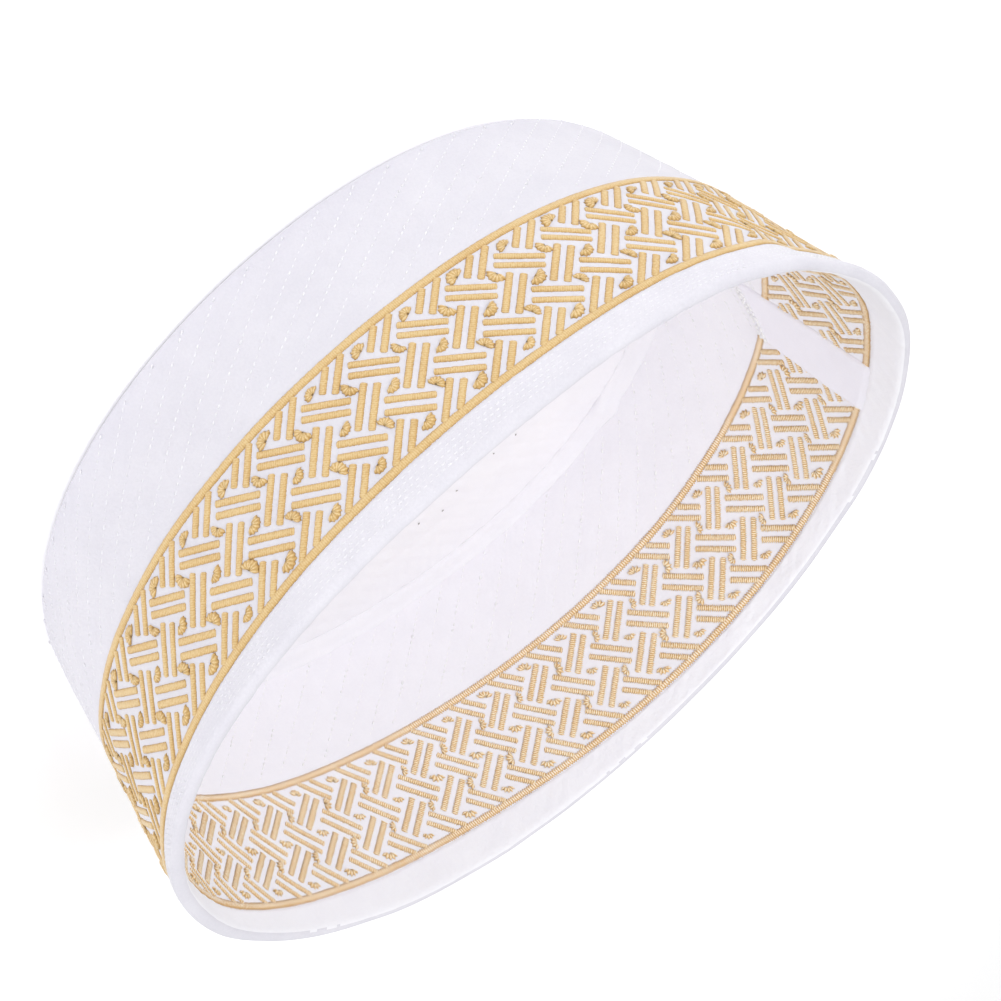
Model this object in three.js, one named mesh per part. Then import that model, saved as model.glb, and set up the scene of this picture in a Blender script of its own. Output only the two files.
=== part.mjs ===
import * as THREE from "three";

// A quilted prayer cap, resting on its crown with the opening up, in millimetres, +Z out of the opening.
// Every piece is shaped on a round cap first. One function, layOval, then lays the whole cap in the soft
// oval that it keeps on a surface, so neighbouring pieces stay the same small distance apart all round.

// Driving sizes
const capHeight = 65.5;
const rimRadius = 90; // mean, to the outer face of the wall
const crownTaper = 0.903; // the crown's mean radius over the rim's
const wallThickness = 2.5; // two cottons quilted over a thin wadding
const shoulderRadius = 4; // outside, where the wall turns in to the crown seam
const crownThickness = 2.5;
const hemDepth = 7; // folded double at the opening's edge
const hemProud = 0.3; // how far the fold stands out from the wall, on each face
const tapeWidth = 15;
const tapeThickness = 0.9;
const tapeFoot = { start: 30.5, end: 20.5 }; // heights of the tape's lower end, which is cut slanting
const tapeAngle = 91.6; // the wall's join, at the back, in degrees from +X
const ridgeWidth = 3; // the crown seam's turned allowance, inside the corner
const ridgeHeight = 1.5;
const gap = 0.3; // between one sewn piece and the next

// The oval: for each number of lobes, how large a share of the radius it adds and where it peaks, in degrees
// from +X, at the rim and at the crown.
const ovalWaves = [
  { lobes: 2, rimShare: 0.094, rimPeak: 90, crownShare: 0.08, crownPeak: 73 },
  { lobes: 3, rimShare: 0.023, rimPeak: 40, crownShare: 0.017, crownPeak: 60 },
  { lobes: 4, rimShare: 0.004, rimPeak: 64, crownShare: 0.011, crownPeak: 73 },
];

// The hem's folded edge is not cut quite level: how far each wave lifts it and where it peaks.
const hemWaves = [
  { lobes: 1, rise: 1.0, peak: 142 },
  { lobes: 2, rise: 1.0, peak: 164 },
  { lobes: 3, rise: 1.3, peak: 105 },
];

const crownDrift = { x: -0.7, y: 1.1 }; // the crown's centre, off the rim's

// How finely the curved pieces are cut
const stepsRound = 96;
const shoulderSteps = 5;

const hemFoot = capHeight - hemDepth;
const wallTop = hemFoot - gap;

// Mean outer radius of the wall at a height.
function wallRadius(height) {
  return rimRadius * THREE.MathUtils.lerp(crownTaper, 1, height / capHeight);
}

function waveSum(waves, angle, sizeKey, peakKey) {
  return waves.reduce((sum, wave) => {
    const turned = angle - THREE.MathUtils.degToRad(wave[peakKey]);
    return sum + wave[sizeKey] * Math.cos(wave.lobes * turned);
  }, 0);
}

// Moves one point of the round cap to where it lies in the oval cap.
function ovalPoint(x, y, z) {
  const up = z / capHeight;
  const angle = Math.atan2(y, x);
  const atRim = waveSum(ovalWaves, angle, "rimShare", "rimPeak");
  const atCrown = waveSum(ovalWaves, angle, "crownShare", "crownPeak");
  const stretch = 1 + THREE.MathUtils.lerp(atCrown, atRim, up);
  const lift = THREE.MathUtils.clamp((z - hemFoot) / hemDepth, 0, 1);
  return new THREE.Vector3(
    x * stretch + crownDrift.x * (1 - up),
    y * stretch + crownDrift.y * (1 - up),
    z + lift * waveSum(hemWaves, angle, "rise", "peak"),
  );
}

function layOval(geometry) {
  const position = geometry.getAttribute("position");
  for (let i = 0; i < position.count; i++) {
    const moved = ovalPoint(position.getX(i), position.getY(i), position.getZ(i));
    position.setXYZ(i, moved.x, moved.y, moved.z);
  }
  position.needsUpdate = true;
  geometry.computeVertexNormals();
  return geometry;
}

// A ring or disc turned about Z from points of (radius, height), the outer side going up.
function turned(points) {
  const geometry = new THREE.LatheGeometry(points, stepsRound);
  return geometry.rotateX(Math.PI / 2);
}

// Points of an arc about (radius, height), from one angle to another in degrees.
function arcPoints(centreRadius, centreHeight, size, fromDegrees, toDegrees, steps) {
  const points = [];
  for (let i = 0; i <= steps; i++) {
    const angle = THREE.MathUtils.degToRad(THREE.MathUtils.lerp(fromDegrees, toDegrees, i / steps));
    points.push(
      new THREE.Vector2(centreRadius + size * Math.cos(angle), centreHeight + size * Math.sin(angle)),
    );
  }
  return points;
}

// The flat round panel that the cap rests on, inside the lip of the wall.
function crownPanel() {
  const edge = wallRadius(0) - shoulderRadius - gap;
  const softness = 0.6;
  return turned([
    new THREE.Vector2(0, 0),
    new THREE.Vector2(edge / 2, 0),
    new THREE.Vector2(edge - softness, 0),
    new THREE.Vector2(edge, softness),
    new THREE.Vector2(edge, crownThickness - softness),
    new THREE.Vector2(edge - softness, crownThickness),
    new THREE.Vector2(edge / 2, crownThickness),
    new THREE.Vector2(0, crownThickness),
  ]);
}

// The quilted band of the wall, from the crown seam round the shoulder and up to the hem.
function sideWall() {
  const turnCentre = wallRadius(0) - shoulderRadius;
  const innerTurn = shoulderRadius - wallThickness;
  const outerTurn = arcPoints(turnCentre, shoulderRadius, shoulderRadius, -90, 0, shoulderSteps);
  const innerReturn = arcPoints(turnCentre, shoulderRadius, innerTurn, 0, -90, shoulderSteps);
  const middle = (shoulderRadius + wallTop) / 2;
  const profile = [
    ...outerTurn,
    new THREE.Vector2(wallRadius(middle), middle),
    new THREE.Vector2(wallRadius(wallTop), wallTop),
    new THREE.Vector2(wallRadius(wallTop) - wallThickness, wallTop),
    new THREE.Vector2(wallRadius(middle) - wallThickness, middle),
    ...innerReturn,
  ];
  return turned([...profile, profile[0]]);
}

// The hem: cloth folded over the wall's upper edge, with a round fold at the top.
function rimHem() {
  const half = wallThickness / 2 + hemProud;
  const foldHeight = capHeight - half;
  const middleAt = (height) => wallRadius(height) - wallThickness / 2;
  const fold = arcPoints(middleAt(foldHeight), foldHeight, half, 0, 180, 6);
  const profile = [
    new THREE.Vector2(middleAt(hemFoot) - half, hemFoot),
    new THREE.Vector2(middleAt(hemFoot) + half, hemFoot),
    ...fold,
  ];
  return turned([...profile, profile[0]]);
}

// The flat strip that covers the wall's upright join inside, its upper end just below the hem.
function seamTape() {
  const strip = new THREE.BoxGeometry(tapeWidth, tapeThickness, 1, 8, 1, 8);
  const position = strip.getAttribute("position");
  const inside = wallThickness + gap + tapeThickness / 2;
  for (let i = 0; i < position.count; i++) {
    const foot = THREE.MathUtils.lerp(tapeFoot.start, tapeFoot.end, position.getX(i) / tapeWidth + 0.5);
    const height = THREE.MathUtils.lerp(foot, wallTop, position.getZ(i) + 0.5);
    const radius = wallRadius(height) - inside - position.getY(i);
    const angle = THREE.MathUtils.degToRad(tapeAngle) + position.getX(i) / wallRadius(height);
    position.setXYZ(i, radius * Math.cos(angle), radius * Math.sin(angle), height);
  }
  return strip;
}

// The seam allowance between crown and wall, turned up as a soft ridge in the corner.
function crownSeamRidge() {
  const outer = wallRadius(0) - shoulderRadius;
  const foot = crownThickness + gap;
  const centre = outer - ridgeWidth / 2;
  const points = arcPoints(0, 0, 1, 0, 180, 6).map(
    (point) => new THREE.Vector2(centre + (point.x * ridgeWidth) / 2, foot + point.y * ridgeHeight),
  );
  return turned([...points, points[0]]);
}

const cottonOutside = { color: 0xf1eef6, roughness: 0.9, metalness: 0 };
const cottonInside = { color: 0xf0ecf0, roughness: 0.92, metalness: 0 };

const pieces = [
  { name: "crown_panel", shape: crownPanel, cloth: cottonOutside },
  { name: "side_wall", shape: sideWall, cloth: cottonOutside },
  { name: "rim_hem", shape: rimHem, cloth: cottonOutside },
  { name: "seam_tape", shape: seamTape, cloth: cottonInside },
  { name: "crown_seam_ridge", shape: crownSeamRidge, cloth: cottonInside },
];

const cap = new THREE.Group();
for (const piece of pieces) {
  const material = new THREE.MeshStandardMaterial(piece.cloth);
  const mesh = new THREE.Mesh(layOval(piece.shape()), material);
  mesh.name = piece.name;
  cap.add(mesh);
}

// The origin is the middle of the cap's box on the surface that it rests on.
const box = new THREE.Box3().setFromObject(cap, true);
const middle = box.getCenter(new THREE.Vector3());
cap.position.set(-middle.x, -middle.y, -box.min.z);

export default cap;
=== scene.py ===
import math

import bpy
import numpy as np
from mathutils import Matrix, Vector


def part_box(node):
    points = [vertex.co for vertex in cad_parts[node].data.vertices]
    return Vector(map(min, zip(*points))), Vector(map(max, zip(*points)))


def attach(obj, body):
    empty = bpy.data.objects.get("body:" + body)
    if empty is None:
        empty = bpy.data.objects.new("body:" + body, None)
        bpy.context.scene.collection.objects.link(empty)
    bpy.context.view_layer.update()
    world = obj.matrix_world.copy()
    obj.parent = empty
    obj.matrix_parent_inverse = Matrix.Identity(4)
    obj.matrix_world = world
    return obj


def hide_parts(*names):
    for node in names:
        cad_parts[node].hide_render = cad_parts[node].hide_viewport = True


# Sizes are in millimetres until a mesh is laid on the cap, which turns them into metres.
mm = 0.001

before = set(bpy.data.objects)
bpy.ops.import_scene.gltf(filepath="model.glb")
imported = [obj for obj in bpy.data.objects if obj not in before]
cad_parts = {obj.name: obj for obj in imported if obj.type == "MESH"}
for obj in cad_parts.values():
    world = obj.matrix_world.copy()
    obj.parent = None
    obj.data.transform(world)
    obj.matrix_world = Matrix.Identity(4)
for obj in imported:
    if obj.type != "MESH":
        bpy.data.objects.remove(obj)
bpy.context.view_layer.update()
print("frame loaded:", sorted(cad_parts))


# Unit vector towards a place given in degrees: its bearing round the cap, from +X, and its elevation
def towards(bearing, elevation=0):
    bearing, elevation = math.radians(bearing), math.radians(elevation)
    level = math.cos(elevation)
    return Vector((math.cos(bearing) * level, math.sin(bearing) * level, math.sin(elevation)))


# Camera, at the photo's angle. The cap rests on its crown, and the picture is turned about the line of
# sight, so that the opening points down and right as in the photo.
cameraSettings = {
    "bearing": 213.294,
    "elevation": 25.687,
    "distance": 700.16,
    "lookAt": (1.13, 1.69, 32.78),
    "roll": 133.52,
    "lens": 121.84,
    "shift": (0.0341, 0.0115),
}


def addCamera(settings):
    toCamera = towards(settings["bearing"], settings["elevation"])
    level = towards(settings["bearing"] + 90)
    upright = toCamera.cross(level)
    roll = math.radians(settings["roll"])
    right = math.cos(roll) * level + math.sin(roll) * upright
    up = toCamera.cross(right)
    bpy.ops.object.camera_add()
    camera = bpy.context.object
    camera.name = "photoCamera"
    turn = Matrix((right, up, toCamera)).transposed().to_4x4()
    spot = (Vector(settings["lookAt"]) + toCamera * settings["distance"]) * mm
    camera.matrix_world = Matrix.Translation(spot) @ turn
    camera.data.sensor_width = 36
    camera.data.lens = settings["lens"]
    camera.data.shift_x, camera.data.shift_y = settings["shift"]
    camera.data.clip_start = 0.01
    bpy.context.scene.camera = camera


addCamera(cameraSettings)
print("camera placed")


# The cap's own shape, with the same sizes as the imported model
capShape = {
    "height": 65.5,
    "rimRadius": 90,
    "crownTaper": 0.903,
    "wall": 2.5,
    "shoulder": 4,
    "hemDepth": 7,
    "crown": 2.5,
    "joinAngle": 91.6,  # where the wall is joined, at the back
}
ovalWaves = [
    {"lobes": 2, "rim": 0.094, "rimPeak": 90, "crown": 0.08, "crownPeak": 73},
    {"lobes": 3, "rim": 0.023, "rimPeak": 40, "crown": 0.017, "crownPeak": 60},
    {"lobes": 4, "rim": 0.004, "rimPeak": 64, "crown": 0.011, "crownPeak": 73},
]
hemWaves = [
    {"lobes": 1, "rise": 1.0, "peak": 142},
    {"lobes": 2, "rise": 1.0, "peak": 164},
    {"lobes": 3, "rise": 1.3, "peak": 105},
]
crownDrift = (-0.7, 1.1)
hemFoot = capShape["height"] - capShape["hemDepth"]
wallTop = hemFoot - 0.3
wallBend = (capShape["shoulder"] + wallTop) / 2  # height at which the wall's slope changes a little
bandMiddle = 43.7  # height of the middle of the embroidered band


# Goes from 0 at the start to 1 at the end, in a straight line.
def ramp(value, start, end):
    return np.clip((value - start) / (end - start), 0, 1)


# The same, leaving and arriving smoothly.
def ease(value, start, end):
    share = ramp(value, start, end)
    return share * share * (3 - 2 * share)


# 1 at no distance, and next to nothing at twice the width.
def softPeak(distance, width):
    return np.exp(-((distance / width) ** 2))


# How far along a line each of its points lies.
def lengthsAlong(line):
    return np.concatenate([[0], np.cumsum(np.linalg.norm(np.diff(line, axis=0), axis=1))])


def wallRadius(height):
    return capShape["rimRadius"] * (
        capShape["crownTaper"] + (1 - capShape["crownTaper"]) * height / capShape["height"]
    )


# Middle of the wall's thickness
def wallCentre(height):
    return wallRadius(height) - capShape["wall"] / 2


# Outer face of the wall, which runs straight from the shoulder to its bend and on to the rim.
def faceRadius(height):
    heights = [capShape["shoulder"], wallBend, capShape["height"]]
    radii = [wallRadius(0), wallRadius(wallBend), wallRadius(capShape["height"])]
    return np.interp(height, heights, radii)


def waveSum(waves, angle, size, peak):
    return sum(w[size] * np.cos(w["lobes"] * (angle - math.radians(w[peak]))) for w in waves)


# Points of the round cap, moved to where they lie in the soft oval.
def layOval(radius, angle, height):
    up = height / capShape["height"]
    atRim = waveSum(ovalWaves, angle, "rim", "rimPeak")
    atCrown = waveSum(ovalWaves, angle, "crown", "crownPeak")
    reach = radius * (1 + atCrown + (atRim - atCrown) * up)
    lift = ramp(height, hemFoot, capShape["height"])
    return np.stack(
        [
            reach * np.cos(angle) + crownDrift[0] * (1 - up),
            reach * np.sin(angle) + crownDrift[1] * (1 - up),
            height + lift * waveSum(hemWaves, angle, "rise", "peak"),
        ],
        axis=-1,
    )


# Lengths along the band are measured round the outside of the wall, from the join at the back.
tableSteps = 3600
tableAngles = np.linspace(0, 2 * math.pi, tableSteps + 1) + math.radians(capShape["joinAngle"])
tableLengths = lengthsAlong(layOval(wallRadius(bandMiddle), tableAngles, bandMiddle))
bandLength = float(tableLengths[-1])

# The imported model's origin is the middle of its box, so the oval is moved to match its hem.
hemLine = layOval(wallRadius(capShape["height"]), tableAngles, capShape["height"])
hemBox = np.array(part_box("rim_hem")) / mm
capShift = (hemBox.mean(0) - (hemLine.min(0) + hemLine.max(0)) / 2) * (1, 1, 0)
print("band length", round(bandLength, 1), "shift", capShift.round(2))


def angleAt(along):
    return np.interp(np.mod(along, bandLength), tableLengths, tableAngles)


def lengthAt(degrees):
    turned = (degrees - capShape["joinAngle"]) % 360 + capShape["joinAngle"]
    return float(np.interp(math.radians(turned), tableAngles, tableLengths))


# Smooth unevenness about size wide, from -1 to 1, that meets itself after one turn round the cap.
def softNoise(along, across, size, seed):
    draws = np.random.RandomState(seed)
    waveCount = 8
    total = 0
    for _ in range(waveCount):
        heading = draws.uniform(0, 2 * math.pi)
        wide = size * draws.uniform(0.7, 1.5)
        cycles = round(bandLength / wide * math.cos(heading))
        wave = 2 * math.pi * cycles / bandLength * along
        wave = wave + 2 * math.pi / wide * math.sin(heading) * across
        total = total + np.sin(wave + draws.uniform(0, 2 * math.pi))
    return total / waveCount * 1.6


# Such unevenness in layers, each given as its depth, size and seed.
def crumple(along, across, layers):
    return sum(depth * softNoise(along, across, size, seed) for depth, size, seed in layers)


# The soft wall: broad waves above its firm foot, and a place where it has sunk in a little under the hem
wallWaves = {"layers": [(0.22, 34, 3)], "firmBelow": 12}
wallValley = {
    "depth": 2.3,
    "sinks": (108, 142),  # round the cap, in degrees from +X
    "rises": (141, 151),
    "heights": (28, 56),
    "heldAtRim": 0.7,  # share of the depth that the folded hem evens out
}


# How far the soft wall stands off the true oval. All that is sewn to the wall follows it.
def wallUneven(along, height):
    degrees = np.degrees(angleAt(along))
    valley = ease(degrees, *wallValley["sinks"]) * (1 - ease(degrees, *wallValley["rises"]))
    valley = valley * ease(height, *wallValley["heights"])
    valley = valley * (1 - wallValley["heldAtRim"] * ease(height, wallTop, capShape["height"]))
    waves = crumple(along, height, wallWaves["layers"]) * ramp(height, 0, wallWaves["firmBelow"])
    return waves - wallValley["depth"] * valley


# Helpers for working with Blender's own tools
def selectOnly(*objects):
    if bpy.context.mode != "OBJECT":
        bpy.ops.object.mode_set(mode="OBJECT")
    bpy.ops.object.select_all(action="DESELECT")
    for obj in objects:
        obj.select_set(True)
    bpy.context.view_layer.objects.active = objects[0]


def editAll(obj):
    selectOnly(obj)
    bpy.ops.object.mode_set(mode="EDIT")
    bpy.ops.mesh.select_mode(type="VERT")
    bpy.ops.mesh.select_all(action="SELECT")


def backToObject():
    bpy.ops.object.mode_set(mode="OBJECT")


# Leaves obj in edit mode with only the vertices, or the faces, that pass the test selected.
def pick(obj, test, kind="VERT"):
    editAll(obj)
    bpy.ops.mesh.select_mode(type=kind)
    bpy.ops.mesh.select_all(action="DESELECT")
    backToObject()
    for part in obj.data.vertices if kind == "VERT" else obj.data.polygons:
        part.select = bool(test(part))
    bpy.ops.object.mode_set(mode="EDIT")


def mergeClose(obj, near):
    editAll(obj)
    bpy.ops.mesh.remove_doubles(threshold=near)
    backToObject()


# Names the object that was just made, and its mesh.
def nameNew(name):
    obj = bpy.context.object
    obj.name = name
    obj.data.name = name
    return obj


def newGrid(name, columns, rows, size):
    bpy.ops.mesh.primitive_grid_add(x_subdivisions=columns, y_subdivisions=rows, size=size)
    return nameNew(name)


def applyPlace(obj):
    selectOnly(obj)
    bpy.ops.object.transform_apply(location=True, rotation=True, scale=True)


# Moves a piece over the bench and turns it where it lies.
def place(obj, x=0, y=0, degrees=0):
    obj.location = (x, y, 0)
    obj.rotation_euler = (0, 0, math.radians(degrees))
    applyPlace(obj)
    return obj


# Gives a flat piece its thickness, downwards.
def thicken(obj, thickness):
    selectOnly(obj)
    thick = obj.modifiers.new("thick", "SOLIDIFY")
    thick.thickness = thickness
    thick.offset = -1
    bpy.ops.object.modifier_apply(modifier=thick.name)


# Copies the piece count times along X as one mesh. Points nearer than near are merged.
def repeat(obj, count, step, near=0):
    selectOnly(obj)
    row = obj.modifiers.new("row", "ARRAY")
    row.use_relative_offset = False
    row.use_constant_offset = True
    row.constant_offset_displace = (step, 0, 0)
    row.count = count
    row.use_merge_vertices = near > 0
    row.merge_threshold = near
    bpy.ops.object.modifier_apply(modifier=row.name)
    return obj


def copyOf(obj):
    twin = obj.copy()
    twin.data = obj.data.copy()
    bpy.context.scene.collection.objects.link(twin)
    return twin


def joinAll(objects, name):
    selectOnly(*objects)
    bpy.ops.object.join()
    return nameNew(name)


def remove(*objects):
    for obj in objects:
        mesh = obj.data
        bpy.data.objects.remove(obj)
        bpy.data.meshes.remove(mesh)


def readPoints(obj):
    points = np.zeros(len(obj.data.vertices) * 3)
    obj.data.vertices.foreach_get("co", points)
    return points.reshape(-1, 3)


def writePoints(obj, points):
    obj.data.vertices.foreach_set("co", np.asarray(points, np.float32).ravel())
    obj.data.update()


# Lifts all points by one amount, or each by its own.
def raisePoints(obj, amount):
    points = readPoints(obj)
    points[:, 2] += amount
    writePoints(obj, points)


# Writes each point's first two numbers as a UV map. The map "flat" holds the place on the flat cloth in
# millimetres, and the map "thread" the place on a line of satin.
def keepMap(obj, points, name="flat"):
    layers = obj.data.uv_layers
    layer = layers.get(name) or layers.get("UVMap") or layers.new(name=name)
    layer.name = name
    corners = np.zeros(len(obj.data.loops), np.int64)
    obj.data.loops.foreach_get("vertex_index", corners)
    layer.data.foreach_set("uv", np.asarray(points[corners, :2], np.float32).ravel())


def finishPiece(obj, finish, nodes=()):
    selectOnly(obj)
    bpy.ops.object.shade_smooth()
    obj.data.materials.clear()
    obj.data.materials.append(finishes[finish])
    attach(obj, "root")
    if nodes:
        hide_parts(*nodes)
    obj.data.calc_loop_triangles()
    print("  ", obj.name, len(obj.data.loop_triangles), "triangles")


# Gives the faces that look into the cap another finish, a lighter one: painted light inside the cap.
def paintInside(obj, finish):
    obj.data.materials.append(finishes[finish])
    count = len(obj.data.polygons)
    centres = np.zeros(count * 3)
    normals = np.zeros(count * 3)
    obj.data.polygons.foreach_get("center", centres)
    obj.data.polygons.foreach_get("normal", normals)
    outward = centres.reshape(-1, 3)[:, :2]
    outward = outward / np.linalg.norm(outward, axis=1, keepdims=True)
    inward = (outward * normals.reshape(-1, 3)[:, :2]).sum(1) < -0.6
    obj.data.polygons.foreach_set("material_index", inward.astype(np.int32))


# Bends what was made flat on the bench round the wall: x is the length round the cap, y the height on
# the wall and z how far it stands out of the outside or the inside face.
def sewOn(obj, face):
    flat = readPoints(obj)
    keepMap(obj, flat)
    along, height, proud = flat.T
    base = faceRadius(height) + wallUneven(along, height)
    radius = base + proud if face == "outside" else base - capShape["wall"] - proud
    writePoints(obj, (layOval(radius, angleAt(along), height) + capShift) * mm)
    if face == "inside":
        editAll(obj)
        bpy.ops.mesh.flip_normals()
        backToObject()


def arcPoints(radius, height, size, fromDegrees, toDegrees, steps):
    turns = np.radians(np.linspace(fromDegrees, toDegrees, steps + 1))
    return [(radius + size * math.cos(a), height + size * math.sin(a)) for a in turns]


# A closed body of cloth round the cap. A flat strip, as long as the wall and as wide as the way round the
# outline that the corners give, is folded to that outline, laid round the cap and closed along its seams.
# The relief is given the length round the cap, the height and how much each point faces outwards, and
# returns how far the cloth stands off there.
def makeStrip(name, corners, settings, relief):
    corners = np.array(corners + [corners[0]])
    widths = lengthsAlong(corners)
    strip = newGrid(name, settings["steps"], round(widths[-1] / settings["stepSize"]), 1)
    strip.scale = (bandLength, widths[-1], 1)
    strip.location = (bandLength / 2, widths[-1] / 2, 0)
    applyPlace(strip)
    flat = readPoints(strip)
    keepMap(strip, flat)
    along, across, _ = flat.T
    radius = np.interp(across, widths, corners[:, 0])
    height = np.interp(across, widths, corners[:, 1])
    near = 0.3
    ahead = np.mod(across + near, widths[-1])
    behind = np.mod(across - near, widths[-1])
    outward = np.interp(ahead, widths, corners[:, 1]) - np.interp(behind, widths, corners[:, 1])
    upward = np.interp(behind, widths, corners[:, 0]) - np.interp(ahead, widths, corners[:, 0])
    size = np.hypot(outward, upward)
    outward, upward = outward / size, upward / size
    stand = relief(along, height, outward)
    radius = radius + stand * outward + wallUneven(along, height)
    height = height + stand * upward
    writePoints(strip, (layOval(radius, angleAt(along), height) + capShift) * mm)
    mergeClose(strip, 0.02 * mm)
    return strip


# Shader groups that several finishes share
def newGroup(name, inputs, outputs):
    group = bpy.data.node_groups.new(name, "ShaderNodeTree")
    for label, kind, value in inputs:
        socket = group.interface.new_socket(name=label, in_out="INPUT", socket_type=kind)
        if value is not None:
            socket.default_value = value
    for label in outputs:
        group.interface.new_socket(name=label, in_out="OUTPUT", socket_type="NodeSocketFloat")
    start = group.nodes.new("NodeGroupInput")
    end = group.nodes.new("NodeGroupOutput")
    return group, start, end


def addMath(tree, operation, first, second=None):
    node = tree.nodes.new("ShaderNodeMath")
    node.operation = operation
    for socket, value in zip(node.inputs, (first, second)):
        if isinstance(value, bpy.types.NodeSocket):
            tree.links.new(value, socket)
        elif value is not None:
            socket.default_value = value
    return node.outputs[0]


# Adds up two values, each times its share.
def addMix(tree, first, firstShare, second, secondShare):
    first = addMath(tree, "MULTIPLY", first, firstShare)
    return addMath(tree, "ADD", first, addMath(tree, "MULTIPLY", second, secondShare))


def addNoise(tree, vector, scale, detail, rough):
    node = tree.nodes.new("ShaderNodeTexNoise")
    node.inputs["Scale"].default_value = scale
    node.inputs["Detail"].default_value = detail
    node.inputs["Roughness"].default_value = rough
    tree.links.new(vector, node.inputs["Vector"])
    return node.outputs["Fac"]


# Plain weave on the flat map in millimetres: crossing yarns, thick and thin places, faint mottling.
def makeWeaveGroup():
    inputs = [
        ("Vector", "NodeSocketVector", None),
        ("Yarns per mm", "NodeSocketFloat", 2.4),
        ("Slub", "NodeSocketFloat", 0.6),
    ]
    tree, start, end = newGroup("plainWeave", inputs, ["Height", "Tone"])
    flat = start.outputs["Vector"]
    split = tree.nodes.new("ShaderNodeSeparateXYZ")
    tree.links.new(flat, split.inputs[0])
    turn = addMath(tree, "MULTIPLY", start.outputs["Yarns per mm"], 2 * math.pi)
    warp = addMath(tree, "SINE", addMath(tree, "MULTIPLY", split.outputs["X"], turn))
    weft = addMath(tree, "SINE", addMath(tree, "MULTIPLY", split.outputs["Y"], turn))
    crossing = addMath(tree, "MULTIPLY", warp, weft)
    slub = addNoise(tree, flat, scale=0.9, detail=4, rough=0.65)
    tree.links.new(addMix(tree, crossing, 0.5, slub, start.outputs["Slub"]), end.inputs["Height"])
    mottle = addNoise(tree, flat, scale=0.09, detail=3, rough=0.6)
    fine = addNoise(tree, flat, scale=1.7, detail=2, rough=0.6)
    tree.links.new(addMix(tree, mottle, 0.6, fine, 0.4), end.inputs["Tone"])
    return tree


# Twisted thread: fine fibres and a colour that drifts from strand to strand.
def makeFibreGroup():
    inputs = [("Vector", "NodeSocketVector", None), ("Strands per mm", "NodeSocketFloat", 2.3)]
    tree, start, end = newGroup("twistedFibre", inputs, ["Height", "Tone"])
    flat = start.outputs["Vector"]
    fibres = addNoise(tree, flat, scale=7, detail=3, rough=0.6)
    tree.links.new(fibres, end.inputs["Height"])
    scaled = tree.nodes.new("ShaderNodeVectorMath")
    scaled.operation = "SCALE"
    tree.links.new(flat, scaled.inputs[0])
    tree.links.new(start.outputs["Strands per mm"], scaled.inputs["Scale"])
    strand = addNoise(tree, scaled.outputs[0], scale=1, detail=1, rough=0.5)
    patch = addNoise(tree, flat, scale=0.12, detail=2, rough=0.5)
    tree.links.new(addMix(tree, strand, 0.65, patch, 0.35), end.inputs["Tone"])
    return tree


# Painted light for satin thread laid across a line: 1, a painted highlight, on the crest of each turn, and
# less, painted shade, between turns and towards the line's edges. On the inside outlines the darker edges
# are also their own colour. The thread map gives the number of the turn and the share of the line's width.
def makeSatinShadeGroup():
    inputs = [
        ("Vector", "NodeSocketVector", None),
        ("Groove shade", "NodeSocketFloat", 0.5),
        ("Edge shade", "NodeSocketFloat", 0.6),
    ]
    tree, start, end = newGroup("satinPaintedShade", inputs, ["Shade"])
    split = tree.nodes.new("ShaderNodeSeparateXYZ")
    tree.links.new(start.outputs["Vector"], split.inputs[0])
    crest = addMath(tree, "COSINE", addMath(tree, "MULTIPLY", split.outputs["X"], 2 * math.pi))
    between = addMath(tree, "MULTIPLY", addMath(tree, "SUBTRACT", 1.0, crest), 0.5)
    groove = addMath(tree, "MULTIPLY", between, start.outputs["Groove shade"])
    aside = addMath(tree, "ABSOLUTE", addMath(tree, "MULTIPLY", split.outputs["Y"], 2.0))
    edge = addMath(tree, "MULTIPLY", addMath(tree, "POWER", aside, 2.2), start.outputs["Edge shade"])
    shade = addMath(tree, "SUBTRACT", addMath(tree, "SUBTRACT", 1.0, groove), edge)
    tree.links.new(shade, end.inputs["Shade"])
    return tree


weaveGroup = makeWeaveGroup()
fibreGroup = makeFibreGroup()
satinShadeGroup = makeSatinShadeGroup()


def addRamp(tree, factor, stops):
    node = tree.nodes.new("ShaderNodeValToRGB")
    colours = node.color_ramp.elements
    while len(colours) < len(stops):
        colours.new(0.5)
    for element, (position, colour) in zip(colours, stops):
        element.position = position
        element.color = (*colour, 1)
    tree.links.new(factor, node.inputs[0])
    return node.outputs[0]


def startMaterial(name, settings):
    material = bpy.data.materials.new(name)
    material.use_nodes = True
    tree = material.node_tree
    shader = tree.nodes["Principled BSDF"]
    for label, value in settings.items():
        shader.inputs[label].default_value = value
    return material, tree, shader


def readMap(tree, name):
    node = tree.nodes.new("ShaderNodeUVMap")
    node.uv_map = name
    return node.outputs[0]


def addGroup(tree, group, vector, values):
    node = tree.nodes.new("ShaderNodeGroup")
    node.node_tree = group
    tree.links.new(vector, node.inputs["Vector"])
    for label, value in values.items():
        node.inputs[label].default_value = value
    return node


# A bump whose height is in millimetres
def addBump(tree, shader, height):
    bump = tree.nodes.new("ShaderNodeBump")
    bump.inputs["Strength"].default_value = 1.0
    bump.inputs["Distance"].default_value = mm
    tree.links.new(height, bump.inputs["Height"])
    tree.links.new(bump.outputs[0], shader.inputs["Normal"])


def clothMaterial(name, light, shade, yarns, weave, wrinkles):
    shaderSettings = {
        "Roughness": 0.9,
        "Sheen Weight": 0.25,
        "Sheen Roughness": 0.5,
        "Specular IOR Level": 0.25,
    }
    material, tree, shader = startMaterial(name, shaderSettings)
    flat = readMap(tree, "flat")
    cloth = addGroup(tree, weaveGroup, flat, {"Yarns per mm": yarns, "Slub": 0.7})
    colour = addRamp(tree, cloth.outputs["Tone"], [(0.3, shade), (0.65, light)])
    tree.links.new(colour, shader.inputs["Base Color"])
    soft = addNoise(tree, flat, scale=0.42, detail=3, rough=0.6)
    addBump(tree, shader, addMix(tree, cloth.outputs["Height"], weave, soft, wrinkles))
    return material
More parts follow.
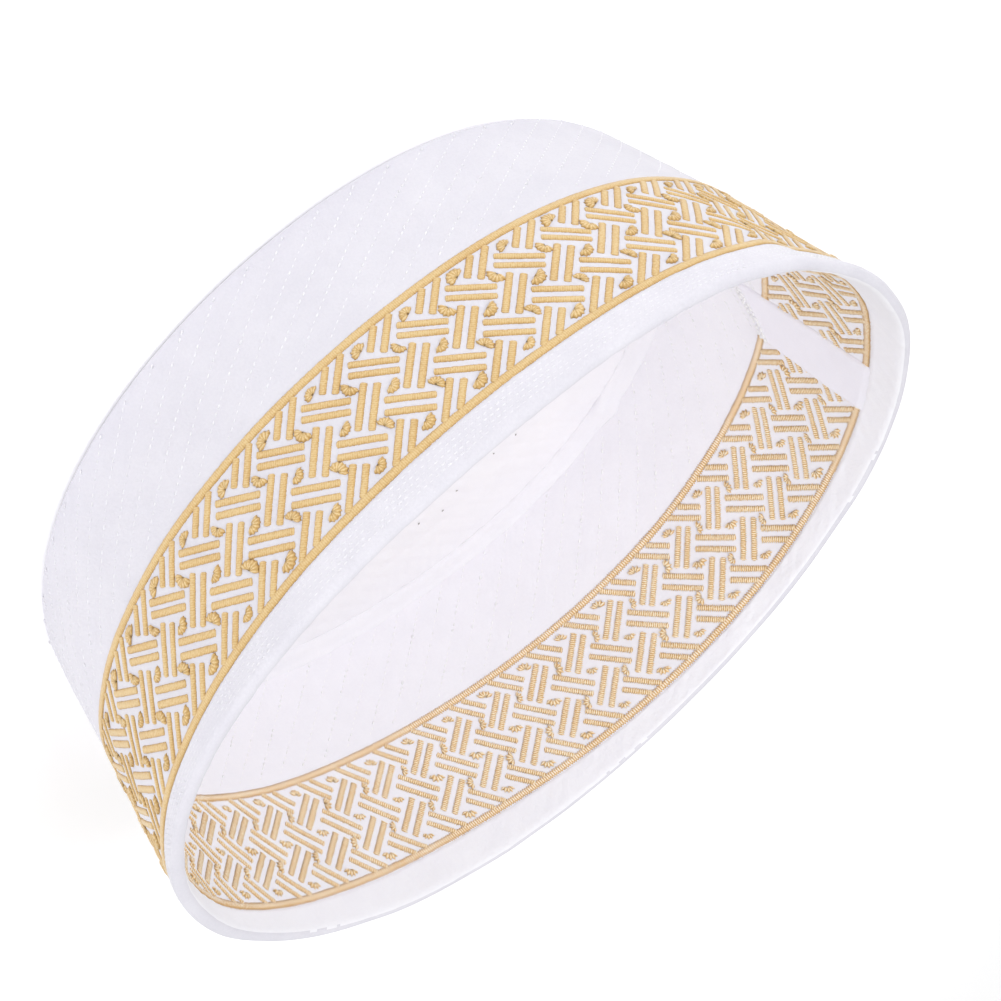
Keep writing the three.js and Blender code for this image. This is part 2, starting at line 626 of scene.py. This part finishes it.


# Plain thread has one colour that drifts. Satin thread, laid in turns, also gets painted shade between its
# turns and along its edges, and a painted highlight on each crest.
def threadMaterial(name, dark, middle, light, roughness, groove=None, edge=0.6):
    shaderSettings = {
        "Roughness": roughness,
        "Sheen Weight": 0.2,
        "Sheen Roughness": 0.35,
        "Specular IOR Level": 0.5,
    }
    material, tree, shader = startMaterial(name, shaderSettings)
    fibre = addGroup(tree, fibreGroup, readMap(tree, "flat"), {"Strands per mm": 2.3})
    tone = fibre.outputs["Tone"]
    if groove is not None:
        # painted shade between the turns and towards the edges, and a painted highlight on the crests
        values = {"Groove shade": groove, "Edge shade": edge}
        turns = addGroup(tree, satinShadeGroup, readMap(tree, "thread"), values)
        tone = addMath(tree, "SUBTRACT", addMix(tree, turns.outputs["Shade"], 0.5, tone, 0.8), 0.2)
    colour = addRamp(tree, tone, [(0.28, dark), (0.5, middle), (0.7, light)])
    tree.links.new(colour, shader.inputs["Base Color"])
    addBump(tree, shader, addMath(tree, "MULTIPLY", fibre.outputs["Height"], 0.025))
    return material


# Each cloth's colours where it is light and shaded, its yarns per mm, and how deep its weave and the soft
# wrinkles in it are, in millimetres. The cottons that face into the cap are painted far lighter than those
# outside it: painted light inside the cap and painted shade outside it, which even out how the lamps reach
# the two sides. Their tints are their own.
cloths = {
    "outsideCotton": ((0.765, 0.752, 0.81), (0.71, 0.697, 0.765), 2.4, 0.03, 0.22),
    "insideCotton": ((0.925, 0.915, 0.965), (0.885, 0.875, 0.93), 2.4, 0.03, 0.16),
    "seamCotton": ((0.90, 0.89, 0.94), (0.86, 0.85, 0.905), 2.4, 0.03, 0.16),
    "hemCotton": ((0.80, 0.785, 0.845), (0.72, 0.707, 0.775), 2.4, 0.045, 0.16),
    "hemInsidePaintedLighter": ((0.955, 0.95, 0.99), (0.925, 0.92, 0.975), 2.4, 0.03, 0.3),
    "tapeCotton": ((0.92, 0.905, 0.975), (0.89, 0.875, 0.95), 3.0, 0.02, 0.08),
}
# Each thread's dark, middle and light colour and its roughness. Satin also has how much painted shade it
# gets between its turns and towards its edges. On the inside outlines the darker edges are partly their
# own colour.
threads = {
    "whiteThread": ((0.94, 0.93, 0.96), (0.965, 0.96, 0.98), (0.985, 0.98, 0.99), 0.35),
    "hemThread": ((0.82, 0.81, 0.86), (0.86, 0.85, 0.90), (0.92, 0.91, 0.94), 0.5),
    "quiltingThread": ((0.83, 0.82, 0.88), (0.89, 0.88, 0.93), (0.97, 0.96, 0.98), 0.4),
    "goldThread": ((0.52, 0.305, 0.10), (0.655, 0.427, 0.17), (0.75, 0.56, 0.28), 0.36, 0.3),
    # the knots: the bars' gold thread with a lighter light colour and a darker dark one, as painted
    # highlight and painted shade
    "goldKnotThreadPaintedLight": ((0.48, 0.275, 0.08), (0.64, 0.41, 0.145), (0.79, 0.60, 0.32), 0.3, 0.5),
    "peachThread": ((0.66, 0.40, 0.16), (0.95, 0.70, 0.39), (1.0, 0.92, 0.73), 0.42, 0.95),
    "bobbinThread": ((0.70, 0.42, 0.17), (0.96, 0.74, 0.47), (1.0, 0.94, 0.81), 0.42, 0.9, 1.5),
    "speckFluff": ((0.30, 0.28, 0.28), (0.38, 0.36, 0.36), (0.46, 0.44, 0.43), 0.9),
}
finishes = {name: clothMaterial(name, *values) for name, values in cloths.items()}
finishes.update({name: threadMaterial(name, *values) for name, values in threads.items()})
print("finishes made")


# The quilted wall: one closed body, the outside cotton going up from the crown seam and the inside one
# coming back
wallSettings = {
    "steps": 560,
    "stepSize": 1.08,
    "topHeight": 59.4,  # tucked into the hem
    "rowsTop": 28.4,
    "heldBySeam": (1.5, 4.5),  # heights between which the cloth comes free of the crown seam
    "crumples": [(0.05, 4.5, 11), (0.06, 9, 12)],
}
# The quilting rows of each face: their lean in degrees, and how far the cloth swells between two of them
outsideRows = {"count": 61, "lean": 29, "pillow": 0.11, "bottom": 3.0, "seed": 301}
insideRows = {"count": 77, "lean": -38, "pillow": 0.06, "bottom": 4.8, "seed": 302}


# 0 along each quilting row and 1 between two rows, given how many rows lie before each point.
def swell(rowsBefore):
    return np.abs(np.sin(math.pi * rowsBefore)) ** 0.7


def pillows(along, height, rows):
    start = along - height / math.tan(math.radians(rows["lean"]))
    return rows["pillow"] * swell(start * rows["count"] / bandLength)


def wallRelief(along, height, outward):
    outside = pillows(along, height, outsideRows)
    inside = pillows(along, height, insideRows)
    belowBand = ramp(height, wallSettings["rowsTop"], wallSettings["rowsTop"] - 1.5)
    quilt = np.where(outward > 0, outside, inside) * belowBand
    crumples = crumple(along, height, wallSettings["crumples"]) * (0.3 + 0.7 * belowBand)
    return (quilt + crumples) * ramp(height, *wallSettings["heldBySeam"])


def makeWall(settings):
    shoulder, wall, top = capShape["shoulder"], capShape["wall"], settings["topHeight"]
    turn = wallRadius(0) - shoulder
    corners = arcPoints(turn, shoulder, shoulder, -90, 0, 8)
    corners += [(wallRadius(wallBend), wallBend), (wallRadius(top), top)]
    corners += [(wallRadius(top) - wall, top), (wallRadius(wallBend) - wall, wallBend)]
    corners += arcPoints(turn, shoulder, shoulder - wall, 0, -90, 5)
    strip = makeStrip("quilted_wall", corners, settings, wallRelief)
    finishPiece(strip, "outsideCotton", ["side_wall"])
    # the inside cotton is painted lighter than the outside one: painted light inside the cap
    paintInside(strip, "insideCotton")


makeWall(wallSettings)
print("wall made")


# The folded hem
hemSettings = {
    "steps": 552,
    "stepSize": 0.5,
    "proud": 0.3,
    "foot": 58.35,
    "footPressed": (0.45, 0.55),  # how far its lower edges are pressed in, and over what height
    "stitchRows": [59.4, 60.4, 61.4, 62.4, 63.3],
    "rowDent": {"depth": 0.07, "width": 0.28},
    "wrinkles": [(0.13, 4.5, 21)],
    "waves": [(0.09, 9, 22)],
}


def hemRelief(along, height, outward):
    dent = hemSettings["rowDent"]
    rows = sum(softPeak(height - row, dent["width"]) for row in hemSettings["stitchRows"])
    outside = -dent["depth"] * rows * ramp(outward, 0, 0.5)
    wrinkles = crumple(along + 1.1 * height, height * 0.4, hemSettings["wrinkles"])
    inside = wrinkles * ramp(-outward, 0, 0.5)
    waves = crumple(along, height, hemSettings["waves"])
    return outside + inside + waves * ramp(height, hemFoot, hemFoot + 3)


def makeHem(settings):
    half = capShape["wall"] / 2 + settings["proud"]
    foldHeight = capShape["height"] - half
    foot = settings["foot"]
    lower = foot + settings["footPressed"][1]
    tucked = half - settings["footPressed"][0]
    corners = [(wallCentre(foot) + tucked, foot), (wallCentre(lower) + half, lower)]
    corners += arcPoints(wallCentre(foldHeight), foldHeight, half, 0, 180, 10)
    corners += [(wallCentre(lower) - half, lower), (wallCentre(foot) - tucked, foot)]
    strip = makeStrip("folded_hem", corners, settings, hemRelief)
    finishPiece(strip, "hemCotton", ["rim_hem"])
    # The hem's inward faces get a lighter copy of the hem's own cotton: painted light inside the cap.
    paintInside(strip, "hemInsidePaintedLighter")


makeHem(hemSettings)
print("hem made")


# The crown: a square grid drawn out to a disc, given its thickness, then quilted and laid in the oval.
crownSettings = {
    "cells": 180,
    "edge": 0.25,
    "heldEdge": 1 / 12,  # share of the radius over which it comes free of the seam
    "rowStep": 4.4,
    "rowTurn": 64,
    "pillow": 0.3,
    "dimple": 0.15,  # of the rows on its outer face
    "swells": [(0.12, 13, 31)],
}
# Creases pressed into the crown or raised on it, a finely crinkled patch by the seam, and specks of fluff
crownCreases = [
    {"line": [(56.2, 10.6), (55.3, 14.4), (54.4, 21.1), (52.3, 24.7), (51.9, 30.6)], "rise": -0.32},
    {"line": [(49.6, 42.7), (43.2, 45.0)], "rise": 0.3},
    {"line": [(42.1, 55.8), (35.8, 59.3)], "rise": 0.3},
]
creaseWidth = 1.1
crinkledPatch = {"at": (64, 22), "reach": 12, "crinkles": [(0.14, 4, 33)]}
fluffPlaces = [(34.6, 47.9), (36.6, 41.4), (42.9, 31.5), (47.3, 27.9), (47.0, 20.8)]
fluffSettings = {"radius": 0.27, "scale": (1.3, 0.8, 0.4), "turn": 40}


# Draws a square from -1 to 1 out to a round disc with cells of even size.
def squareToDisc(x, y):
    wide = np.abs(x) >= np.abs(y)
    major = np.where(wide, x, y)
    minor = np.where(wide, y, x)
    safe = np.where(np.abs(major) < 1e-9, 1, major)
    turn = math.pi / 4 * minor / safe
    along, across = major * np.cos(turn), major * np.sin(turn)
    return np.where(wide, along, across), np.where(wide, across, along)


def lineDistance(x, y, line):
    nearest = np.full(len(x), 1000.0)
    for (startX, startY), (endX, endY) in zip(line, line[1:]):
        alongX, alongY = endX - startX, endY - startY
        share = ((x - startX) * alongX + (y - startY) * alongY) / (alongX**2 + alongY**2)
        share = np.clip(share, 0, 1)
        nearest = np.minimum(nearest, np.hypot(x - startX - share * alongX, y - startY - share * alongY))
    return nearest


def crownWear(x, y):
    wear = sum(c["rise"] * softPeak(lineDistance(x, y, c["line"]), creaseWidth) for c in crownCreases)
    away = np.hypot(x - crinkledPatch["at"][0], y - crinkledPatch["at"][1]) / crinkledPatch["reach"]
    return wear + crumple(x * 0.7 + 300, y * 1.6, crinkledPatch["crinkles"]) * np.exp(-(away**4))


def makeCrown(settings):
    radius = wallRadius(0) - capShape["shoulder"] + settings["edge"]
    crown = newGrid("quilted_crown", settings["cells"], settings["cells"], 2)
    flat = readPoints(crown)
    x, y = squareToDisc(flat[:, 0], flat[:, 1])
    flat = np.stack([x * radius, y * radius, np.full(len(x), capShape["crown"])], -1)
    writePoints(crown, flat)
    keepMap(crown, flat)
    thicken(crown, capShape["crown"])
    x, y, z = readPoints(crown).T
    turn = math.radians(settings["rowTurn"])
    quilt = swell((y * math.cos(turn) - x * math.sin(turn)) / settings["rowStep"])
    free = ramp(np.hypot(x, y) / radius, 1, 1 - settings["heldEdge"])
    upper = z > capShape["crown"] / 2
    puff = settings["pillow"] * quilt + crumple(x * 1.3 + 300, y, settings["swells"])
    z = z + np.where(upper, puff, settings["dimple"] * (1 - quilt)) * free
    placed = layOval(np.hypot(x, y), np.arctan2(y, x), z) + capShift
    placed[:, 2] += np.where(upper, crownWear(placed[:, 0], placed[:, 1]) * free, 0)
    writePoints(crown, placed * mm)
    finishPiece(crown, "insideCotton", ["crown_panel"])
    return crown


def makeFluff(crown, settings):
    ground = readPoints(crown) / mm
    bpy.ops.mesh.primitive_ico_sphere_add(subdivisions=1, radius=settings["radius"])
    speck = nameNew("speck")
    speck.scale = settings["scale"]
    applyPlace(speck)
    specks = []
    for number, (x, y) in enumerate(fluffPlaces):
        near = np.argsort(np.hypot(ground[:, 0] - x, ground[:, 1] - y))[:8]
        copied = place(copyOf(speck), x, y, settings["turn"] * number)
        raisePoints(copied, ground[near, 2].max() + 0.05)
        specks.append(copied)
    remove(speck)
    whole = joinAll(specks, "crown_fluff")
    points = readPoints(whole)
    keepMap(whole, points)
    writePoints(whole, points * mm)
    finishPiece(whole, "speckFluff")


makeFluff(makeCrown(crownSettings), fluffSettings)
print("crown made")


# The turned seam allowance in the corner between crown and wall, pressed flat to a low soft fillet
rollSettings = {
    "steps": 552,
    "stepSize": 0.62,
    "fold": {"angle": 60, "rise": 0.8, "width": 3.2},  # where the seam is puckered into a small fold
    "gathers": [(0.08, 2.6, 41), (0.1, 8, 42)],
    "freeHeights": (2.6, 3.4),  # heights between which it comes free of the crown
    "outline": [
        (79.2, 2.3),
        (79.2, 5.3),
        (78.2, 4.55),
        (77.3, 4.2),
        (76.2, 4.1),
        (75.2, 3.75),
        (74.4, 3.05),
        (73.9, 2.3),
    ],
}


def rollRelief(along, height, _):
    fold = rollSettings["fold"]
    puckered = fold["rise"] * softPeak(along - lengthAt(fold["angle"]), fold["width"])
    gathers = crumple(along, height, rollSettings["gathers"])
    return (gathers + puckered) * ramp(height, *rollSettings["freeHeights"])


def makeRoll(settings):
    strip = makeStrip("crown_seam_roll", settings["outline"], settings, rollRelief)
    finishPiece(strip, "seamCotton", ["crown_seam_ridge"])


makeRoll(rollSettings)
print("seam roll made")


# The tape over the join, inside
tapeSettings = {
    "width": 15,
    "feet": (30.5, 20.5),  # heights of the lower end, which is cut slanting, at its two sides
    "top": 59.0,
    "thick": 0.6,
    "proud": 0.65,
    "turnedUnder": (0.9, 1.0),  # widths over which its sides and its end fall to the cloth
    "pressedAt": (57.6, 58.8),  # heights between which the hem comes to press on it
    "pressedBy": 0.7,
    "sags": [(0.14, 13, 51), (0.05, 5, 52)],
    "stitchRows": [0.9, 2.1],  # heights above the foot
    "rowDent": {"depth": 0.1, "width": 0.35},
    "cells": (36, 80),
}


# Height of the tape's lower end at the place x across it
def tapeFoot(x):
    return np.interp(x, [-tapeSettings["width"] / 2, tapeSettings["width"] / 2], tapeSettings["feet"])


# How far the tape's face stands off the wall. Its sides and its end are turned under and pressed flat.
def tapeProud(x, y):
    above = y - tapeFoot(x)
    atSides, atEnd = tapeSettings["turnedUnder"]
    edge = ramp(tapeSettings["width"] / 2 - np.abs(x), 0, atSides) ** 0.5 * ramp(above, 0, atEnd) ** 0.5
    pressed = 1 - tapeSettings["pressedBy"] * ramp(y, *tapeSettings["pressedAt"])
    sag = crumple(x, y, tapeSettings["sags"])
    dent = tapeSettings["rowDent"]
    sewn = sum(softPeak(above - row, dent["width"]) for row in tapeSettings["stitchRows"])
    return (tapeSettings["proud"] + sag) * edge * pressed - dent["depth"] * sewn


def makeTape(settings):
    tape = newGrid("join_tape", *settings["cells"], 1)
    thicken(tape, settings["thick"])
    x, y, z = readPoints(tape).T
    x = x * settings["width"]
    y = tapeFoot(x) + (y + 0.5) * (settings["top"] - tapeFoot(x))
    face = tapeProud(x, y)
    z = np.where(z > -settings["thick"] / 2, face, np.minimum(face, 0) - 0.12)
    writePoints(tape, np.stack([x, y, z], -1))
    sewOn(tape, "inside")
    finishPiece(tape, "tapeCotton", ["seam_tape"])


makeTape(tapeSettings)
print("tape made")


# The tape presses the threads that it covers flat.
def pressUnderTape(obj):
    x, y, z = readPoints(obj).T
    across = (x + bandLength / 2) % bandLength - bandLength / 2
    margin = 0.3
    covered = (np.abs(across) < tapeSettings["width"] / 2 - margin) & (y > tapeFoot(across) + margin)
    writePoints(obj, np.stack([x, y, np.where(covered, 0.5 * z, z)], -1))


# All sewing is made from copies of a single stitch: a three-sided rod whose ends turn down into the cloth.
# It is shaped along Y and then laid along X.
rodSize = {"wide": 0.866, "tall": 0.75}  # of such a rod that is 1 across


def makeStitch(name, settings):
    length, proud = settings["length"], settings["proud"]
    bpy.ops.mesh.primitive_cylinder_add(vertices=3, radius=0.5, depth=1, rotation=(math.pi / 2, 0, 0))
    stitch = nameNew(name)
    applyPlace(stitch)
    tall = proud + settings["foot"]
    stitch.scale = (settings["width"] / rodSize["wide"], length, tall / rodSize["tall"])
    applyPlace(stitch)
    for share in (-0.27, 0.27):
        editAll(stitch)
        bpy.ops.mesh.bisect(plane_co=(0, share * length, 0), plane_no=(0, 1, 0))
    pick(stitch, lambda vertex: abs(vertex.co.y) > 0.4 * length)
    bpy.ops.transform.translate(value=(0, 0, -0.6 * proud))
    bpy.ops.transform.resize(value=(0.8, 1, 0.7))
    backToObject()
    raisePoints(stitch, proud - readPoints(stitch)[:, 2].max())
    return place(stitch, degrees=-90)


# No two stitches lie quite alike: each is shifted, lengthened and lifted a little.
def loosen(obj, vertsEach, seed, slide, stretch, lift):
    points = readPoints(obj).reshape(-1, vertsEach, 3)
    draws = np.random.RandomState(seed)
    count = len(points)
    centres = points.mean(axis=1, keepdims=True)
    sizes = 1 + draws.uniform(-stretch, stretch, (count, 1, 1)) * np.array([1, 1, 0])
    shifts = draws.uniform(-1, 1, (count, 1, 3)) * np.array([slide, slide, lift])
    writePoints(obj, (centres + (points - centres) * sizes + shifts).reshape(-1, 3))


# One turn of satin thread across the line that it covers: a low arch along X with a crest in its middle.
def makeTurn(thread):
    width, proud, pitch = thread["width"], thread["proud"], thread["pitch"]
    bpy.ops.mesh.primitive_cylinder_add(vertices=8, radius=0.5, depth=1, rotation=(0, math.pi / 2, 0))
    turn = nameNew("satinTurn")
    applyPlace(turn)
    turn.scale = (pitch, width, 2 * proud)
    applyPlace(turn)
    editAll(turn)
    bpy.ops.mesh.bisect(plane_co=(0, 0, 0), plane_no=(0, 0, -1), clear_outer=True, use_fill=True)
    bpy.ops.mesh.select_all(action="SELECT")
    bpy.ops.mesh.bisect(plane_co=(0, 0, 0), plane_no=(1, 0, 0))
    pick(turn, lambda vertex: abs(vertex.co.x) > 0.4 * pitch)
    bpy.ops.transform.resize(value=(1, thread["groove"], thread["groove"]))
    pick(turn, lambda face: abs(face.normal.x) > 0.9, "FACE")
    bpy.ops.mesh.delete(type="ONLY_FACE")
    mergeClose(turn, 0.001)
    raisePoints(turn, -0.06)
    return turn


# Lays turns side by side from x = 0 as one ribbed line. Unless it is a ring, its ends are closed and
# rounded.
def layTurns(turn, count, pitch, width, isRing=False):
    line = repeat(copyOf(turn), count, pitch, near=0.02 * pitch)
    if not isRing:
        last = (count - 0.5) * pitch
        pick(line, lambda vertex: vertex.co.x < -0.4 * pitch or vertex.co.x > last - 0.1 * pitch)
        bpy.ops.transform.resize(value=(1, 0.62, 0.5), center_override=(0, 0, 0))
        bpy.ops.mesh.edge_face_add()
        backToObject()
    keepMap(line, readPoints(line) / (pitch, width, 1), "thread")
    return line


# Pulls a line's threads a little out of true.
def ruffle(obj, seed, amount, free=1.0):
    points = readPoints(obj)
    pulls = np.random.RandomState(seed).uniform(-1, 1, points.shape) * np.array(amount)
    free = np.broadcast_to(free, len(points))
    writePoints(obj, points + pulls * free[:, None])


# The embroidered band, a weave of bars that repeats round the cap
bandSettings = {
    "repeats": 46,
    "columnAngle": 216.6,  # where one column has its top knot, in degrees from +X
    "barLength": 9.9,
    "fieldBottom": 31.0,
    "fieldTop": 57.0,
    "outlineHeights": [30.3, 57.5],
    "knotLoose": {"slide": 0.2, "stretch": 0.16, "lift": 0.06},
    "knotRuffle": (0.1, 0.1, 0.05),
}
barPairs = [
    {"column": 0, "height": 49.2, "family": "falling", "apart": 2.65},
    {"column": 0, "height": 38.2, "family": "falling", "apart": 2.3},
    {"column": 1, "height": 43.7, "family": "rising", "apart": 2.65},
    {"column": 1, "height": 54.7, "family": "rising", "apart": 2.6},
    {"column": 1, "height": 32.7, "family": "rising", "apart": 2.6},
]
knotPlaces = [
    {"column": 0, "height": 43.7, "turn": 25},
    {"column": 0, "height": 54.6, "turn": 25},
    {"column": 0, "height": 33.4, "turn": 205},
    {"column": 1, "height": 49.2, "turn": 115},
    {"column": 1, "height": 38.3, "turn": -65},
]
repeatLength = bandLength / bandSettings["repeats"]
firstColumn = lengthAt(bandSettings["columnAngle"]) % repeatLength

outsideThread = {
    "face": "outside",
    "finishes": {"bars": "goldThread", "knots": "goldKnotThreadPaintedLight", "outlines": "goldThread"},
    "width": 1.68,
    "proud": 0.38,
    "pitch": 0.45,
    "groove": 0.9,
    "falling": -38.5,  # lean of the bars, in degrees
    "rising": 44,
    "ruffle": (0.04, 0.07, 0.02),
    "outlineWidth": 2.1,
    "outlinePitch": 0.45,
    "knot": {"turns": 7, "radius": 1.05, "spread": 180, "width": 2.2, "proud": 0.56, "groove": 0.75},
    "seed": 101,
}
insideThread = {
    "face": "inside",
    "finishes": {"bars": "peachThread", "knots": "peachThread", "outlines": "bobbinThread"},
    "width": 1.85,
    "proud": 0.38,
    "pitch": 0.495,
    "groove": 0.5,
    "falling": -38.5,
    "rising": 49.5,
    "ruffle": (0.05, 0.1, 0.03),
    "outlineWidth": 2.2,
    "outlinePitch": 0.6,
    "knot": {"turns": 5, "radius": 1.1, "spread": 155, "width": 1.8, "proud": 0.6, "groove": 0.4},
    "seed": 201,
}


def columnAt(column):
    return firstColumn + column * repeatLength / 2


# Joins what belongs to one repeat of the weave, and copies it round the cap.
def goRound(parts, kind, thread):
    return repeat(joinAll(parts, f"gold_{kind}_{thread['face']}"), bandSettings["repeats"], repeatLength)


def sewGold(obj, kind, thread):
    if thread["face"] == "inside":
        pressUnderTape(obj)
    sewOn(obj, thread["face"])
    if kind == "outlines":
        mergeClose(obj, 0.02 * mm)
    finishPiece(obj, thread["finishes"][kind])


def makeBars(thread):
    turn = makeTurn(thread)
    pitch = thread["pitch"]
    turns = round(bandSettings["barLength"] / pitch)
    reach = (np.arange(turns) - (turns - 1) / 2) * pitch
    bars = []
    for pair in barPairs:
        lean = thread[pair["family"]]
        heading = np.array([math.cos(math.radians(lean)), math.sin(math.radians(lean))])
        sideways = np.array([-heading[1], heading[0]])
        for side in (-0.5, 0.5):
            middle = np.array([columnAt(pair["column"]), pair["height"]])
            middle = middle + sideways * side * pair["apart"]
            heights = middle[1] + reach * heading[1]
            inField = (heights > bandSettings["fieldBottom"]) & (heights < bandSettings["fieldTop"])
            kept = reach[inField]
            x, y = middle + heading * kept[0]
            bars.append(place(layTurns(turn, len(kept), pitch, thread["width"]), x, y, lean))
    remove(turn)
    whole = goRound(bars, "bars", thread)
    ruffle(whole, thread["seed"], thread["ruffle"])
    sewGold(whole, "bars", thread)


# Each knot is a short satin line bent round an arc, so that its threads spread like a small shell.
def makeKnots(thread):
    knot = thread["knot"]
    count, radius = knot["turns"], knot["radius"]
    spread = math.radians(knot["spread"])
    pitch = radius * spread / count
    turn = makeTurn({**knot, "pitch": pitch})
    pattern = layTurns(turn, count, pitch, knot["width"])
    x, y, z = readPoints(pattern).T
    swing = (x / pitch - (count - 1) / 2) * spread / count
    reach = radius + y
    bent = np.stack([reach * np.sin(swing), reach * np.cos(swing) - radius / 2, z], -1)
    writePoints(pattern, bent)
    knots = [place(copyOf(pattern), columnAt(k["column"]), k["height"], k["turn"]) for k in knotPlaces]
    remove(turn, pattern)
    whole = goRound(knots, "knots", thread)
    loosen(whole, len(bent), thread["seed"] + 1, **bandSettings["knotLoose"])
    ruffle(whole, thread["seed"] + 3, bandSettings["knotRuffle"])
    sewGold(whole, "knots", thread)


def makeOutlines(thread):
    width = thread["outlineWidth"]
    count = round(bandLength / thread["outlinePitch"])
    pitch = bandLength / count
    turn = makeTurn({**thread, "width": width, "pitch": pitch})
    lines = []
    for height in bandSettings["outlineHeights"]:
        lines.append(place(layTurns(turn, count, pitch, width, isRing=True), pitch / 2, height))
    remove(turn)
    whole = joinAll(lines, f"gold_outlines_{thread['face']}")
    x = readPoints(whole)[:, 0]
    fromEnd = np.minimum(x, bandLength - x)
    ruffle(whole, thread["seed"] + 2, thread["ruffle"], np.clip(fromEnd / pitch, 0, 1))
    sewGold(whole, "outlines", thread)


for thread in (outsideThread, insideThread):
    makeBars(thread)
    makeKnots(thread)
    makeOutlines(thread)
    print("embroidery made", thread["face"])


# Quilting stitches
quiltSettings = {
    "pitch": 1.65,
    "length": 0.95,
    "width": 0.46,
    "proud": 0.17,
    "foot": 0.06,
    "loose": {"slide": 0.08, "stretch": 0.15, "lift": 0.04},
}


def makeQuilting(face, rows, finish, settings):
    stitch = makeStitch(f"quilting_{face}", settings)
    vertsEach = len(stitch.data.vertices)
    slope = math.radians(rows["lean"])
    pitch, bottom = settings["pitch"], rows["bottom"]
    count = int((wallSettings["rowsTop"] - bottom) / abs(math.sin(slope)) / pitch)
    repeat(stitch, count, math.copysign(pitch, slope))
    place(stitch, bottom / math.tan(slope), bottom, rows["lean"])
    repeat(stitch, rows["count"], bandLength / rows["count"])
    loosen(stitch, vertsEach, rows["seed"], **settings["loose"])
    sewOn(stitch, face)
    finishPiece(stitch, finish)


makeQuilting("outside", outsideRows, "quiltingThread", quiltSettings)
makeQuilting("inside", insideRows, "whiteThread", quiltSettings)
print("quilting sewn")


# Rows of small stitches that hold the hem
hemStitchSettings = {
    "count": 368,  # in each row
    "length": 0.95,
    "width": 0.42,
    "proud": 0.16,
    "foot": 0.06,
    "sunk": 0.1,
    "loose": {"slide": 0.06, "stretch": 0.12, "lift": 0.03},
    "seed": 401,
}


def makeHemStitches(settings):
    stitch = makeStitch("hemStitch", settings)
    vertsEach = len(stitch.data.vertices)
    pitch = bandLength / settings["count"]
    rows = []
    for number, height in enumerate(hemSettings["stitchRows"]):
        row = place(copyOf(stitch), pitch / 2 * (number % 2), height)
        rows.append(repeat(row, settings["count"], pitch))
    remove(stitch)
    whole = joinAll(rows, "hem_stitches")
    loosen(whole, vertsEach, settings["seed"], **settings["loose"])
    raisePoints(whole, hemSettings["proud"] - settings["sunk"])
    sewOn(whole, "outside")
    finishPiece(whole, "hemThread")


makeHemStitches(hemStitchSettings)
print("hem sewn")


# Two rows of crooked stitches hold the tape's slanting end.
tapeStitchSettings = {
    "pitch": 1.45,
    "length": 1.6,
    "width": 0.8,
    "proud": 0.6,
    "foot": 0.1,
    "sunk": 0.05,
    "margin": 0.9,  # left free at the tape's sides
    "swing": 22,
    "loose": {"slide": 0.12, "stretch": 0.2, "lift": 0.05},
    "seed": 501,
}


def makeTapeStitches(settings):
    left, right = tapeSettings["feet"]
    slope = math.atan2(right - left, tapeSettings["width"])
    stitch = place(makeStitch("tapeStitch", settings), degrees=math.degrees(slope))
    vertsEach = len(stitch.data.vertices)
    reach = tapeSettings["width"] / 2 - settings["margin"]
    across = np.arange(-reach, reach + 0.1, settings["pitch"] * math.cos(slope))
    copies = []
    for row in tapeSettings["stitchRows"]:
        for number, x in enumerate(across):
            turn = settings["swing"] * math.sin(2.3 * number + row)
            copies.append(place(copyOf(stitch), x, tapeFoot(x) + row, turn))
    remove(stitch)
    whole = joinAll(copies, "tape_stitches")
    loosen(whole, vertsEach, settings["seed"], **settings["loose"])
    x, y, _ = readPoints(whole).T
    raisePoints(whole, tapeProud(x, y) - settings["sunk"])
    sewOn(whole, "inside")
    finishPiece(whole, "whiteThread")


makeTapeStitches(tapeStitchSettings)
print("tape sewn")


# Floor and light, in metres
floorSettings = {"size": 14, "colour": (0.97, 0.97, 0.975), "glow": 0.23}


def addFloor(settings):
    bpy.ops.mesh.primitive_plane_add(size=settings["size"])
    floor = nameNew("floor")
    shaderSettings = {
        "Base Color": (*settings["colour"], 1),
        "Roughness": 0.9,
        "Emission Color": (1, 1, 1, 1),
        "Emission Strength": settings["glow"],
    }
    material, _, _ = startMaterial("paleFloor", shaderSettings)
    floor.data.materials.append(material)


# Three soft boxes round the cap, as its even shading asks for, and light from all round
lightSettings = [
    {"name": "front", "bearing": 175, "elevation": 50, "distance": 1.6, "size": 1.2, "power": 12.3},
    {"name": "side", "bearing": 290, "elevation": 40, "distance": 1.6, "size": 1.2, "power": 9.6},
    {"name": "left", "bearing": 125, "elevation": 30, "distance": 1.6, "size": 1.2, "power": 2.4},
]
worldLight = 0.475


def addLights(settings, strength):
    world = bpy.data.worlds.new("studio")
    bpy.context.scene.world = world
    world.use_nodes = True
    sky = world.node_tree.nodes["Background"]
    sky.inputs["Color"].default_value = (1, 1, 1, 1)
    sky.inputs["Strength"].default_value = strength
    for row in settings:
        away = towards(row["bearing"], row["elevation"])
        bpy.ops.object.light_add(type="AREA", location=away * row["distance"])
        light = nameNew(row["name"])
        light.rotation_euler = away.to_track_quat("Z", "Y").to_euler()
        light.data.size = row["size"]
        light.data.energy = row["power"]


addFloor(floorSettings)
addLights(lightSettings, worldLight)
bpy.context.scene.view_settings.view_transform = "Standard"
print("floor and lights placed")
